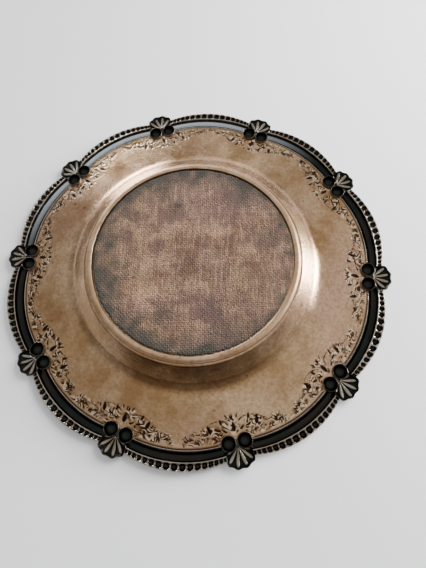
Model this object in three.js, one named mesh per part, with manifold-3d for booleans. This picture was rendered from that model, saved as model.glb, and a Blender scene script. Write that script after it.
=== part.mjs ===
// Round silver salver with ten lobes, lying face down: +Z comes out of its underside.
// A dished tray carries a low soldered foot ring with a woven pad inside it. Round the tray's edge
// run ten struck border strips, joined under ten hollow shell mounts. Millimetres, origin on the
// surface that the border rests on, below the middle of the tray.
import * as THREE from 'three';
import { mergeVertices } from 'three/addons/utils/BufferGeometryUtils.js';
import Module from 'manifold-3d';

// Driving dimensions
const LOBES = 10;
const SHEET = 1.0; // gauge of the tray
const STRUCK = 0.8; // gauge of the struck border
const GAP = 0.3; // solder gap between pieces
const RIM_Z = 5.0; // height of the cup rims, the datum of the border

// Tray, given on the face that looks up
const WELL_Z = 20.9;
const SHOULDER_R = 67.6;
const SHOULDER_ROUND = 3.5;
const BOOGE_FOOT_R = 79.0;
const BOOGE_FOOT_Z = 9.7;
const BOOGE_FOOT_ROUND = 16.0;
const EDGE_Z = 2.7;

// Foot ring and pad
const RING_INNER_R = 62.7;
const RING_OUTER_R = 66.3;
const RING_TOP_Z = 23.2;
const RING_EASE = 0.6;
const PAD_R = 62.3;
const PAD_TOP_Z = 22.6;

// Border: each radius is that of the lobe's middle, less its drop towards the shells
const SEAM = { middle: 112.5, drop: 2.4 };
const FILLET = { middle: 119.2, drop: 3.1 };
const LIP = { middle: 124.3, drop: 6.1 };
const COVE_FOOT_Z = 0.9;
const COVE_WALL = 0.7; // how far the cove's wall leans
const FILLET_Z = 4.1;
const LIP_Z = 4.6;
const BEADS = 19; // hollow beads in one strip
const BEAD_DEPTH = 2.0;
const END_BEAD = 0.5; // size of an end bead against the middle one
const STRIP_HALF_ANGLE = THREE.MathUtils.degToRad(14.6);

// Shell mount, in a frame with x outwards and y along the edge
const SHELL_CENTRE_X = 119.4;
const SHELL_HALF_LENGTH = 6.5;
const SHELL_HALF_WIDTH = 8.6;
const SHELL_Z = 4.9;
const SHELL_DEPTH = 2.6;
const FLUTES = 7;
const FAN_HALF_ANGLE = THREE.MathUtils.degToRad(80);
const FAN_ROOT = 0.8;
const RIDGE_SHARE = 0.55; // depth of the ridges against the flutes
const SCALLOP = 0.03;
const CUP_X = 111.1;
const CUP_Y = 4.8;
const CUP_OUTER_R = 4.5;
const CUP_INNER_R = 4.0;
const NECK_X = [111.5, 115.0];
const NECK_HALF_WIDTH = 1.7;
const NECK_Z = [2.0, 4.4];

// Fineness of the faceting
const TRAY_STATIONS = 6 * LOBES;
const ROUND_STEPS = 3;
const CUP_STATIONS = 10;
const CUP_STEPS = 2;
const FAN_ROWS = 3;
const OUTLINE_STEPS = 9; // on each half of an oval

const wasm = await Module();
wasm.setup();

const LOBE_ANGLE = (2 * Math.PI) / LOBES;
const MOUNT_ANGLES = Array.from({ length: LOBES }, (_, i) => i * LOBE_ANGLE);

const silver = () => new THREE.MeshStandardMaterial({ color: 0xb39a7c, roughness: 0.38, metalness: 0.9 });
const darkSilver = () => new THREE.MeshStandardMaterial({ color: 0x4a463e, roughness: 0.42, metalness: 0.9 });
const ringSilver = () => new THREE.MeshStandardMaterial({ color: 0xa98b68, roughness: 0.42, metalness: 0.85 });
const wovenCloth = () => new THREE.MeshStandardMaterial({ color: 0x6b5646, roughness: 0.95, metalness: 0 });

// Radius of a border line at an angle measured from the middle of a lobe.
function lobeRadius(line, angle) {
  const share = angle / (LOBE_ANGLE / 2);
  return line.middle - line.drop * share * share;
}

// Angle from the middle of the lobe that a bearing falls in, when mounts stand at 0, 36, 72 ...
function angleInLobe(bearing) {
  const turned = THREE.MathUtils.euclideanModulo(bearing, LOBE_ANGLE);
  return turned - LOBE_ANGLE / 2;
}

// Closed solid of manifold-3d from a closed three.js geometry.
function solidOf(geometry) {
  const bare = geometry.clone();
  bare.deleteAttribute('normal');
  bare.deleteAttribute('uv');
  const merged = mergeVertices(bare, 1e-4);
  const index = merged.index.array;
  const kept = [];
  for (let i = 0; i < index.length; i += 3) {
    const [a, b, c] = [index[i], index[i + 1], index[i + 2]];
    if (a !== b && b !== c && c !== a) kept.push(a, b, c);
  }
  return new wasm.Manifold(
    new wasm.Mesh({
      numProp: 3,
      vertProperties: new Float32Array(merged.attributes.position.array),
      triVerts: new Uint32Array(kept),
    }),
  );
}

// Three.js geometry of a solid.
function geometryOf(solid) {
  const mesh = solid.getMesh();
  const geometry = new THREE.BufferGeometry();
  geometry.setAttribute('position', new THREE.BufferAttribute(mesh.vertProperties, 3));
  geometry.setIndex(new THREE.BufferAttribute(mesh.triVerts, 1));
  geometry.computeVertexNormals();
  return geometry;
}

function cut(solid, cutters) {
  return cutters.reduce((left, cutter) => left.subtract(cutter), solid);
}

// The same geometry with its faces looking out.
function outward(geometry) {
  const [position, index] = [geometry.attributes.position, geometry.index.array];
  const corner = (i) => new THREE.Vector3().fromBufferAttribute(position, index[i]);
  let volume = 0;
  for (let i = 0; i < index.length; i += 3) {
    volume += corner(i).dot(corner(i + 1).cross(corner(i + 2)));
  }
  if (volume < 0) index.reverse();
  return geometry;
}

// Lathe about +Z from a closed list of [radius, height] points.
function turned(points, stations) {
  const profile = points.map(([r, z]) => new THREE.Vector2(r, z));
  return outward(new THREE.LatheGeometry(profile, stations).rotateX(Math.PI / 2));
}

// Line through corners, each rounded by an arc, as points with their normals on the left.
function roundedLine(corners) {
  const points = [];
  const line = corners.map((corner) => new THREE.Vector2(corner.x, corner.z));
  const along = (i) => line[i + 1].clone().sub(line[i]).normalize();
  const leftOf = (direction) => new THREE.Vector2(-direction.y, direction.x);
  points.push({ at: line[0], normal: leftOf(along(0)) });
  for (let i = 1; i < line.length - 1; i += 1) {
    const turn = Math.atan2(along(i - 1).cross(along(i)), along(i - 1).dot(along(i)));
    const side = Math.sign(turn);
    const radius = corners[i].radius;
    const start = line[i].clone().addScaledVector(along(i - 1), -radius * Math.tan(Math.abs(turn) / 2));
    const normal = leftOf(along(i - 1));
    const centre = start.clone().addScaledVector(normal, side * radius);
    for (let step = 0; step <= ROUND_STEPS; step += 1) {
      const here = normal.clone().rotateAround(new THREE.Vector2(), (turn * step) / ROUND_STEPS);
      points.push({ at: centre.clone().addScaledVector(here, -side * radius), normal: here });
    }
  }
  points.push({ at: line[line.length - 1], normal: leftOf(along(line.length - 2)) });
  return points;
}

// Triangles that fill a flat loop, wound the way the loop runs.
function capTriangles(loop) {
  const winding = Math.sign(THREE.ShapeUtils.area(loop));
  return THREE.ShapeUtils.triangulateShape(loop, []).map(([a, b, c]) => {
    const triangle = [loop[a], loop[b], loop[c]];
    return Math.sign(THREE.ShapeUtils.area(triangle)) === winding ? [a, b, c] : [a, c, b];
  });
}

// Closed solid's skin swept through a row of closed loops, and capped at both ends.
function sweptLoops(loops, capPlane) {
  const count = loops[0].length;
  const positions = loops.flat().flatMap((p) => [p.x, p.y, p.z]);
  const index = [];
  for (let i = 0; i < loops.length - 1; i += 1) {
    for (let j = 0; j < count; j += 1) {
      const a = i * count + j;
      const b = i * count + ((j + 1) % count);
      index.push(a, a + count, b, b, a + count, b + count);
    }
  }
  const last = (loops.length - 1) * count;
  capTriangles(loops[0].map(capPlane)).forEach(([a, b, c]) => index.push(a, b, c));
  capTriangles(loops[loops.length - 1].map(capPlane)).forEach(([a, b, c]) => {
    index.push(last + a, last + c, last + b);
  });
  const geometry = new THREE.BufferGeometry();
  geometry.setAttribute('position', new THREE.Float32BufferAttribute(positions, 3));
  geometry.setIndex(index);
  return geometry;
}

// Dished sheet: flat well, sloping booge and marly, with an edge that follows the ten lobes.
function trayGeometry() {
  const line = roundedLine([
    { x: 0, z: WELL_Z },
    { x: SHOULDER_R, z: WELL_Z, radius: SHOULDER_ROUND },
    { x: BOOGE_FOOT_R, z: BOOGE_FOOT_Z, radius: BOOGE_FOOT_ROUND },
    { x: SEAM.middle, z: EDGE_Z },
  ]);
  const upper = line.map(({ at }) => [at.x, at.y]);
  const lower = line.map(({ at, normal }) => [at.x - normal.x * SHEET, at.y - normal.y * SHEET]).reverse();
  const geometry = turned([...upper, ...lower], TRAY_STATIONS);
  const position = geometry.attributes.position;
  for (let i = 0; i < position.count; i += 1) {
    const [x, y] = [position.getX(i), position.getY(i)];
    const radius = Math.hypot(x, y);
    const share = THREE.MathUtils.smoothstep(radius, BOOGE_FOOT_R, SEAM.middle - SHEET);
    const edge = lobeRadius(SEAM, angleInLobe(Math.atan2(y, x))) - GAP / 2;
    const scale = 1 + (share * (edge - SEAM.middle)) / SEAM.middle;
    position.setXY(i, x * scale, y * scale);
  }
  return geometryOf(cut(solidOf(geometry), MOUNT_ANGLES.flatMap(footprintCutters)));
}

function ringGeometry() {
  const bottom = WELL_Z + GAP;
  return turned(
    [
      [RING_INNER_R, bottom],
      [RING_OUTER_R, bottom],
      [RING_OUTER_R, RING_TOP_Z - RING_EASE],
      [RING_OUTER_R - RING_EASE, RING_TOP_Z],
      [RING_INNER_R, RING_TOP_Z],
      [RING_INNER_R, bottom],
    ],
    TRAY_STATIONS,
  );
}

function padGeometry() {
  const bottom = WELL_Z + GAP;
  return turned(
    [
      [0, bottom],
      [PAD_R, bottom],
      [PAD_R, PAD_TOP_Z],
      [0, PAD_TOP_Z],
    ],
    TRAY_STATIONS,
  );
}

// Shares of the strip's length, from -1 to 1, at the edges and middles of its graduated beads.
function beadStations() {
  const size = (share) => END_BEAD + (1 - END_BEAD) * Math.cos((share * Math.PI) / 2) ** 2;
  const sizes = Array.from({ length: 2 * BEADS }, (_, i) => size((i + 0.5) / BEADS - 1));
  const total = sizes.reduce((sum, next) => sum + next, 0);
  let reached = 0;
  const stations = [{ share: -1, depth: 0 }];
  sizes.forEach((length, i) => {
    reached += length;
    stations.push({ share: (2 * reached) / total - 1, depth: i % 2 === 0 ? length : 0 });
  });
  return stations;
}

// Struck strip of one lobe, its middle on +X: cove, upright wall, fillet, graduated beads and lip.
function stripGeometry() {
  const loops = beadStations().map(({ share, depth }) => {
    const angle = share * STRIP_HALF_ANGLE;
    const seam = lobeRadius(SEAM, angle) + GAP / 2;
    const fillet = lobeRadius(FILLET, angle);
    const lip = lobeRadius(LIP, angle);
    const bead = (fillet + lip) / 2;
    const pit = FILLET_Z - BEAD_DEPTH * depth;
    const section = [
      [seam, EDGE_Z],
      [fillet - COVE_WALL, COVE_FOOT_Z],
      [fillet, FILLET_Z],
      [bead, pit],
      [lip, LIP_Z],
      [bead + STRUCK / 2, pit - STRUCK],
      [fillet - COVE_WALL + STRUCK / 2, COVE_FOOT_Z - STRUCK],
      [seam, EDGE_Z - STRUCK],
    ];
    return section.map(([r, z]) => new THREE.Vector3(r * Math.cos(angle), r * Math.sin(angle), z));
  });
  const radialPlane = (p) => new THREE.Vector2(Math.hypot(p.x, p.y), p.z);
  const strip = solidOf(outward(sweptLoops(loops, radialPlane)));
  const ends = [-LOBE_ANGLE / 2, LOBE_ANGLE / 2];
  return geometryOf(cut(strip, ends.flatMap(footprintCutters)));
}

// Distance from the shell's root to its oval edge, at an angle from the outward direction.
function shellReach(angle) {
  const along = Math.cos(angle) / SHELL_HALF_LENGTH;
  const across = Math.sin(angle) / SHELL_HALF_WIDTH;
  return (2 * along) / (along * along + across * across);
}

// Hollow fluted fan, its rim up, spreading from a root on the inner side of the oval.
function fanSolid() {
  const rootX = SHELL_CENTRE_X - SHELL_HALF_LENGTH;
  const loops = [];
  for (let i = 0; i <= 2 * FLUTES; i += 1) {
    const angle = FAN_HALF_ANGLE * (i / FLUTES - 1);
    const hollow = i % 2 === 1 ? 1 : RIDGE_SHARE;
    const reach = shellReach(angle) * (i % 2 === 1 ? 1 : 1 - SCALLOP);
    const face = (drop) => (_, row) => {
      const share = row / FAN_ROWS;
      const out = FAN_ROOT + (reach - FAN_ROOT) * share;
      const z = SHELL_Z - SHELL_DEPTH * hollow * Math.sin(Math.PI * share) - drop;
      return new THREE.Vector3(rootX + out * Math.cos(angle), out * Math.sin(angle), z);
    };
    const upper = Array.from({ length: FAN_ROWS + 1 }, face(0));
    const lower = Array.from({ length: FAN_ROWS + 1 }, face(STRUCK)).reverse();
    loops.push([...upper, ...lower]);
  }
  const radialPlane = (p) => new THREE.Vector2(Math.hypot(p.x - rootX, p.y), p.z);
  return solidOf(outward(sweptLoops(loops, radialPlane)));
}

// Round bowl with its mouth up: its solid from the bottom to a given top.
function bowlSolid(radius, bottom, top, y) {
  const points = [[0, bottom]];
  for (let step = 1; step <= CUP_STEPS; step += 1) {
    const angle = (step / CUP_STEPS) * (Math.PI / 2);
    points.push([radius * Math.sin(angle), bottom + (RIM_Z - bottom) * (1 - Math.cos(angle))]);
  }
  if (top > RIM_Z) points.push([radius, top]);
  points.push([0, top]);
  return solidOf(turned(points, CUP_STATIONS).translate(CUP_X, y, 0));
}

function neckSolid() {
  const [length, width, height] = [NECK_X[1] - NECK_X[0], 2 * NECK_HALF_WIDTH, NECK_Z[1] - NECK_Z[0]];
  const box = new THREE.BoxGeometry(length, width, height);
  return solidOf(box.translate((NECK_X[0] + NECK_X[1]) / 2, 0, (NECK_Z[0] + NECK_Z[1]) / 2));
}

// Shell and its two cups in one struck piece, standing outwards on +X.
function mountGeometry() {
  const sides = [-CUP_Y, CUP_Y];
  const cups = sides.map((y) => bowlSolid(CUP_OUTER_R, 0, RIM_Z, y));
  const hollows = sides.map((y) => bowlSolid(CUP_INNER_R, STRUCK, RIM_Z + SHEET, y));
  const joined = cups.reduce((sum, cup) => sum.add(cup), fanSolid().add(neckSolid()));
  return geometryOf(cut(joined, hollows));
}

// Upright solids over a mount's outline, one gap wider, for cutting its neighbours. Turned to a bearing.
function footprintCutters(bearing) {
  const upright = (shape) => {
    const geometry = new THREE.ExtrudeGeometry(shape, {
      depth: 3 * RIM_Z,
      bevelEnabled: false,
      curveSegments: OUTLINE_STEPS,
    });
    return solidOf(geometry.translate(0, 0, -RIM_Z).rotateZ(bearing));
  };
  const oval = (x, y, halfLength, halfWidth) => {
    const shape = new THREE.Shape();
    return shape.absellipse(x, y, halfLength + GAP, halfWidth + GAP, 0, 2 * Math.PI);
  };
  const neck = new THREE.Shape([
    new THREE.Vector2(NECK_X[0] - GAP, -NECK_HALF_WIDTH - GAP),
    new THREE.Vector2(NECK_X[1], -NECK_HALF_WIDTH - GAP),
    new THREE.Vector2(NECK_X[1], NECK_HALF_WIDTH + GAP),
    new THREE.Vector2(NECK_X[0] - GAP, NECK_HALF_WIDTH + GAP),
  ]);
  return [
    upright(oval(SHELL_CENTRE_X, 0, SHELL_HALF_LENGTH, SHELL_HALF_WIDTH)),
    upright(oval(CUP_X, -CUP_Y, CUP_OUTER_R, CUP_OUTER_R)),
    upright(oval(CUP_X, CUP_Y, CUP_OUTER_R, CUP_OUTER_R)),
    upright(neck),
  ];
}

function named(name, geometry, material) {
  const mesh = new THREE.Mesh(geometry, material);
  mesh.name = name;
  return mesh;
}

const salver = new THREE.Group();
salver.add(named('tray_body', trayGeometry(), silver()));
salver.add(named('foot_ring', ringGeometry(), ringSilver()));
salver.add(named('base_pad', padGeometry(), wovenCloth()));

const strip = stripGeometry();
const mount = mountGeometry();
MOUNT_ANGLES.forEach((bearing, i) => {
  const number = String(i + 1).padStart(2, '0');
  const stripMesh = named(`border_strip_${number}`, strip, darkSilver());
  stripMesh.rotation.z = bearing + LOBE_ANGLE / 2;
  const mountMesh = named(`shell_mount_${number}`, mount, darkSilver());
  mountMesh.rotation.z = bearing;
  salver.add(stripMesh, mountMesh);
});

export default salver;
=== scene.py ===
import math

import bpy
import numpy as np
from mathutils import Matrix, Vector


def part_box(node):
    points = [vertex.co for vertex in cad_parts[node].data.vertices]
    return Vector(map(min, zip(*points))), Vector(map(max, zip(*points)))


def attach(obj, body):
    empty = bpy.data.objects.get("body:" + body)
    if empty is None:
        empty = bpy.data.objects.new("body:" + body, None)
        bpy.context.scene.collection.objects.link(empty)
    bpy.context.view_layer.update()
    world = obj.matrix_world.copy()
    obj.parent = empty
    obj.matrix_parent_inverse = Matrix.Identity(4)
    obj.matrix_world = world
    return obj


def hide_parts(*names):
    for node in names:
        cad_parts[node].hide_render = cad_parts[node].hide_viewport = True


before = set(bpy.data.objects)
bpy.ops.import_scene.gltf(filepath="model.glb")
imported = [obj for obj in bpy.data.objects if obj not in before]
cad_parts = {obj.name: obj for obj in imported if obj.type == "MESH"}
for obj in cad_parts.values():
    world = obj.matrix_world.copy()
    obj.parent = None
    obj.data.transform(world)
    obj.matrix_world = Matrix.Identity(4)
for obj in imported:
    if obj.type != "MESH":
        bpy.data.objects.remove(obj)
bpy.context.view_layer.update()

MM = 0.001
LOBES = 10
LOBE = 2 * math.pi / LOBES

# Driving sizes, taken from the frame where a node gives them
RIM_Z = 5.0  # height of the mounts' upper side
WELL_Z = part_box("tray_body")[1].z / MM
RING_TOP_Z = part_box("foot_ring")[1].z / MM
RING_OUTER_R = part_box("foot_ring")[1].x / MM
PAD_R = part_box("base_pad")[1].x / MM
PAD_TOP_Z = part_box("base_pad")[1].z / MM
RING_INNER_R = PAD_R + 0.4
SHEET = 1.0  # gauge of the tray
STRUCK = 0.8  # gauge of the border strips and the fans
SHOULDER_R, SHOULDER_ROUND = 67.6, 3.5
BOOGE_FOOT_R, BOOGE_FOOT_Z, BOOGE_FOOT_ROUND = 79.0, 9.7, 16.0
EDGE_Z = 2.7  # height of the tray's edge

# Border lines: radius at a lobe's middle, and how far it drops at the mounts
SEAM = (112.5, 2.4)
FILLET = (119.2, 3.1)
LIP = (124.2, 6.1)
RIDGE_WIDTH, RIDGE_FOOT_Z = 0.7, EDGE_Z - 0.15
COVE_FOOT_Z, COVE_WALL, COVE_TURN_UP = 0.9, 0.7, 0.6
FILLET_Z, FILLET_WIDTH = 4.1, 0.5
LIP_Z, LIP_WIDTH = 4.5, 0.42
BEADS, BEAD_DEPTH = 19, 2.1
END_BEAD = 0.5  # size of a strip's last bead, where its middle one is 1
STRIP_HALF_ANGLE = math.radians(15.6)
CUP_X, CUP_Y, CUP_R, CUP_WALL = 111.1, 4.8, 4.5, 0.4
CUP_FOOT_Z, CUP_TOP_Z = 0.05, RIM_Z - 0.2
SHELL_X, SHELL_LENGTH, SHELL_WIDTH = 119.4, 6.5, 8.6  # middle, and half sizes outwards and across
FAN_ROOT_X, FAN_ROOT_R = SHELL_X - SHELL_LENGTH + 0.8, 0.7
FAN_HALF_ANGLE = math.radians(83)
SHELL_DEPTH, RIDGES = 2.9, 6
THREAD_TURN, THREAD_PITCH = math.radians(-5), 1.25
WEAVE_DIP = 0.1  # how far a thread dips as it goes under another

# The camera, in millimetres in the salver's frame
CAMERA_AT = (33.3, -107.3, 270.8)
CAMERA_TILT, CAMERA_ROLL, CAMERA_TURN = (math.radians(a) for a in (20.22, -7.73, -11.95))
CAMERA_LENS = 27.96


# ---------------------------------------------------------------- shapes in general

def lobe_radius(line, angle):
    """Radius of a border line at an angle from the middle of its lobe."""
    share = angle / (LOBE / 2)
    return line[0] - line[1] * share**2


def in_lobe(bearing):
    """Angle from the middle of the lobe that a bearing falls in."""
    return np.mod(bearing, LOBE) - LOBE / 2


def from_mount(bearing):
    """Angle from the nearest shell mount."""
    return np.mod(bearing + LOBE / 2, LOBE) - LOBE / 2


def waves(seed, x, y, length, count=24):
    """Smooth random field of about unit size, whose bumps are about `length` across."""
    rng = np.random.default_rng(seed)
    angles = rng.uniform(0, 2 * math.pi, count)
    rates = 2 * math.pi / (length * rng.uniform(0.7, 2.0, count))
    phases = rng.uniform(0, 2 * math.pi, count)
    total = sum(
        np.sin(rate * (x * math.cos(a) + y * math.sin(a)) + phase)
        for a, rate, phase in zip(angles, rates, phases)
    )
    return total / math.sqrt(count / 2)


def smooth(value, low, high):
    """Smooth step from 0 at low to 1 at high."""
    t = np.clip((value - low) / (high - low), 0, 1)
    return t * t * (3 - 2 * t)


def add_piece(name, points, blocks, material, slot, replaces, **fields):
    """Makes a smooth-shaded piece from points in millimetres, hung on the frame's body.

    Each block is an array of faces with the same number of corners. The fields are numbers from
    0 to 1 at each point, which the materials read: dirt and painted shade, strokes, lace, painted reflection
    and soot.
    """
    mesh = bpy.data.meshes.new(name)
    sizes = np.concatenate([np.full(len(block), block.shape[1]) for block in blocks])
    corners = np.concatenate([block.ravel() for block in blocks])
    mesh.vertices.add(len(points))
    mesh.vertices.foreach_set("co", (np.asarray(points, float) * MM).ravel())
    mesh.loops.add(len(corners))
    mesh.loops.foreach_set("vertex_index", corners.astype(np.int32))
    mesh.polygons.add(len(sizes))
    mesh.polygons.foreach_set("loop_start", (np.cumsum(sizes) - sizes).astype(np.int32))
    mesh.polygons.foreach_set("use_smooth", np.ones(len(sizes), bool))
    mesh.update(calc_edges=True)
    for key, values in fields.items():
        layer = mesh.attributes.new(key, "FLOAT", "POINT")
        layer.data.foreach_set("value", np.clip(values, 0, 1).astype(np.float32))
    mesh.materials.append(material)
    piece = bpy.data.objects.new(name, mesh)
    bpy.context.scene.collection.objects.link(piece)
    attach(piece, "root")
    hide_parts(replaces)
    return piece


def grid_faces(rows, columns, close_rows=False, close_columns=True):
    """Quads of a grid of points, numbered row by row."""
    r, c = np.meshgrid(np.arange(rows if close_rows else rows - 1),
                       np.arange(columns if close_columns else columns - 1), indexing="ij")
    r2, c2 = (r + 1) % rows, (c + 1) % columns
    quads = np.stack([r * columns + c, r2 * columns + c, r2 * columns + c2, r * columns + c2], -1)
    return quads.reshape(-1, 4)


def band_faces(first_a, count_a, first_b, count_b):
    """Faces between two closed rows of points. One row may have several times the other's points."""
    count = min(count_a, count_b)
    step_a, step_b = count_a // count, count_b // count
    i = np.arange(count)[:, None]
    out = first_b + (i * step_b + np.arange(step_b + 1)) % count_b
    home = first_a + (i * step_a + np.arange(step_a, -1, -1)) % count_a
    return np.concatenate([out, home], 1)


def grid_border(rows, columns):
    """Numbers of the points round an open grid, one way round."""
    index = np.arange(rows * columns).reshape(rows, columns)
    return np.concatenate([index[:-1, 0], index[-1, :-1], index[:0:-1, -1], index[0, :0:-1]])


def left_of(direction):
    """The direction a quarter turn to the left of a flat one."""
    return np.array([-direction[1], direction[0]])


def rounded_line(corners, steps):
    """Points and left normals of a line whose inner corners (x, z, radius) are rounded by arcs."""
    at = [np.array(c[:2], float) for c in corners]
    way = [(b - a) / np.linalg.norm(b - a) for a, b in zip(at, at[1:])]
    points, normals = [at[0]], [left_of(way[0])]
    for corner, here, before, after in zip(corners[1:-1], at[1:-1], way, way[1:]):
        radius = corner[2]
        turn = math.atan2(before[0] * after[1] - before[1] * after[0], before @ after)
        side = math.copysign(1, turn)
        start = here - before * radius * math.tan(abs(turn) / 2)
        nx, nz = left_of(before)
        centre = start + left_of(before) * side * radius
        for step in range(steps + 1):
            c, s = math.cos(turn * step / steps), math.sin(turn * step / steps)
            normal = np.array([nx * c - nz * s, nx * s + nz * c])
            points.append(centre - normal * side * radius)
            normals.append(normal)
    points.append(at[-1])
    normals.append(left_of(way[-1]))
    return np.array(points), np.array(normals)


# ---------------------------------------------------------------- materials

def new_material(name):
    """A material with only a shader in it. Gives the material, its node tree and the shader."""
    material = bpy.data.materials.new(name)
    material.use_nodes = True
    tree = material.node_tree
    tree.nodes.clear()
    output = tree.nodes.new("ShaderNodeOutputMaterial")
    shader = tree.nodes.new("ShaderNodeBsdfPrincipled")
    tree.links.new(shader.outputs[0], output.inputs["Surface"])
    return material, tree, shader


def node(tree, kind, inputs=None, **settings):
    """Adds a node, sets it, and links or fills in its inputs."""
    made = tree.nodes.new(kind)
    for key, value in settings.items():
        setattr(made, key, value)
    for key, value in (inputs or {}).items():
        if isinstance(value, bpy.types.NodeSocket):
            tree.links.new(value, made.inputs[key])
        else:
            made.inputs[key].default_value = value
    return made


def noise(tree, place, scale, detail=4.0, roughness=0.55, distortion=0.0):
    """Noise around 0.5, with bumps about a metre over the scale across."""
    made = node(tree, "ShaderNodeTexNoise", {"Vector": place, "Scale": scale, "Detail": detail,
                                             "Roughness": roughness, "Distortion": distortion})
    return made.outputs["Fac"]


def ranged(tree, value, low, high, to_low=0.0, to_high=1.0, way="LINEAR"):
    """The value moved from one range to another, and kept inside it."""
    inputs = {"Value": value, "From Min": low, "From Max": high, "To Min": to_low, "To Max": to_high}
    return node(tree, "ShaderNodeMapRange", inputs, interpolation_type=way).outputs["Result"]


def mixed(tree, share, first, second, blend="MIX"):
    """A share of the second colour in the first, by the Mix node's sockets for colours."""
    inputs = {0: share}
    for key, colour in ((6, first), (7, second)):
        inputs[key] = colour if isinstance(colour, bpy.types.NodeSocket) else (*colour, 1.0)
    return node(tree, "ShaderNodeMix", inputs, data_type="RGBA", blend_type=blend).outputs[2]


def maths(tree, operation, first, second=0.0):
    return node(tree, "ShaderNodeMath", {0: first, 1: second}, operation=operation).outputs[0]


def place_of(tree, scale=(1, 1, 1), turn=0.0):
    """The object's own coordinates in metres, turned about +Z and then stretched."""
    coordinates = node(tree, "ShaderNodeTexCoord").outputs["Object"]
    turned = node(tree, "ShaderNodeMapping", {"Vector": coordinates, "Rotation": (0, 0, turn)})
    return node(tree, "ShaderNodeMapping", {"Vector": turned.outputs[0], "Scale": scale}).outputs[0]


TURNING_STRETCH = 0.006  # length in the noise for each radian round, so that turned marks are long


def round_place(tree):
    """Coordinates that run round the salver: bearing, radius and height, for marks made by turning."""
    place = node(tree, "ShaderNodeSeparateXYZ", {0: node(tree, "ShaderNodeTexCoord").outputs["Object"]})
    x, y, z = place.outputs
    bearing = maths(tree, "ARCTAN2", y, x)
    squares = maths(tree, "ADD", maths(tree, "MULTIPLY", x, x), maths(tree, "MULTIPLY", y, y))
    radius = maths(tree, "SQRT", squares)
    along = maths(tree, "MULTIPLY", bearing, TURNING_STRETCH)
    return node(tree, "ShaderNodeCombineXYZ", {0: along, 1: radius, 2: z}).outputs[0]


def attribute(tree, name):
    """One of the fields that add_piece gives a mesh."""
    return node(tree, "ShaderNodeAttribute", attribute_name=name).outputs["Fac"]


def bumped(tree, shader, height, strength, distance):
    """Gives a shader fine relief, whose depth is in metres."""
    made = node(tree, "ShaderNodeBump", {"Height": height, "Strength": strength, "Distance": distance})
    tree.links.new(made.outputs["Normal"], shader.inputs["Normal"])


LACE_SCALE, LACE_TURNS = 180, 38.0  # of the fine curling lines between the chased strokes


def tray_silver():
    """Tarnished, much polished silver: cloudy tan, pink and yellow, black in the chased strokes."""
    material, tree, shader = new_material("tray_silver")
    place = place_of(tree)
    clouds = noise(tree, place, 30, 5, 0.68)
    blush = noise(tree, place, 17, 2, 0.5, 0.4)
    olive = noise(tree, place_of(tree, (1, 1, 1), 1.0), 21, 3, 0.6)
    grain = noise(tree, place, 520, 3, 0.65)
    tan = mixed(tree, ranged(tree, clouds, 0.38, 0.62), (0.34, 0.190, 0.088), (0.62, 0.42, 0.250))
    tan = mixed(tree, ranged(tree, blush, 0.5, 0.68, 0, 0.75), tan, (0.56, 0.345, 0.235))
    tan = mixed(tree, ranged(tree, olive, 0.54, 0.7, 0, 0.6), tan, (0.43, 0.27, 0.11))
    tan = mixed(tree, ranged(tree, grain, 0.42, 0.72, 0, 0.55), tan, (0.22, 0.118, 0.053))
    turned = noise(tree, round_place(tree), 1300, 2, 0.6)
    tan = mixed(tree, ranged(tree, turned, 0.5, 0.75, 0, 0.3), tan, (0.30, 0.17, 0.08))
    spots = node(tree, "ShaderNodeTexVoronoi", {"Vector": place, "Scale": 95.0}, feature="F1")
    pits = ranged(tree, spots.outputs["Distance"], 0.02, 0.11, 0.7, 0.0)
    tan = mixed(tree, pits, tan, (0.09, 0.045, 0.022))
    # darkened by tarnish, stains, and the painted shade and painted reflection in the tray's field
    tarnished_and_shaded = mixed(tree, attribute(tree, "dirt"), tan, (0.055, 0.027, 0.014))
    # the sine of a noise is light and dark along its contour lines, which curl
    hills = noise(tree, place, LACE_SCALE, 1, 0.4, 0.8)
    curls = maths(tree, "SINE", maths(tree, "MULTIPLY", hills, LACE_TURNS))
    lace = maths(tree, "MULTIPLY", ranged(tree, curls, 0.0, 0.4), attribute(tree, "lace"))
    raised = maths(tree, "MULTIPLY", ranged(tree, curls, -0.2, -0.7), attribute(tree, "lace"))
    tarnished_and_shaded = mixed(tree, maths(tree, "MULTIPLY", raised, 0.8), tarnished_and_shaded, (0.84, 0.64, 0.46))
    tarnished_and_shaded = mixed(tree, maths(tree, "MULTIPLY", lace, 0.95), tarnished_and_shaded, (0.034, 0.017, 0.009))
    strokes = attribute(tree, "strokes")
    chased = mixed(tree, ranged(tree, strokes, 0.05, 0.75), tarnished_and_shaded, (0.020, 0.011, 0.006))
    tree.links.new(chased, shader.inputs["Base Color"])
    shader.inputs["Metallic"].default_value = 1.0
    rough = ranged(tree, noise(tree, place, 60, 4, 0.6), 0.3, 0.7, 0.19, 0.31)
    rough = maths(tree, "ADD", rough, maths(tree, "MULTIPLY", strokes, 0.25))
    tree.links.new(rough, shader.inputs["Roughness"])
    brushed = maths(tree, "ADD", turned, noise(tree, place_of(tree, (1, 16, 1), 0.5), 150, 3, 0.6))
    relief = maths(tree, "SUBTRACT", maths(tree, "ADD", brushed, grain), lace)
    bumped(tree, shader, relief, 0.22, 0.0002)
    return material


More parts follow.
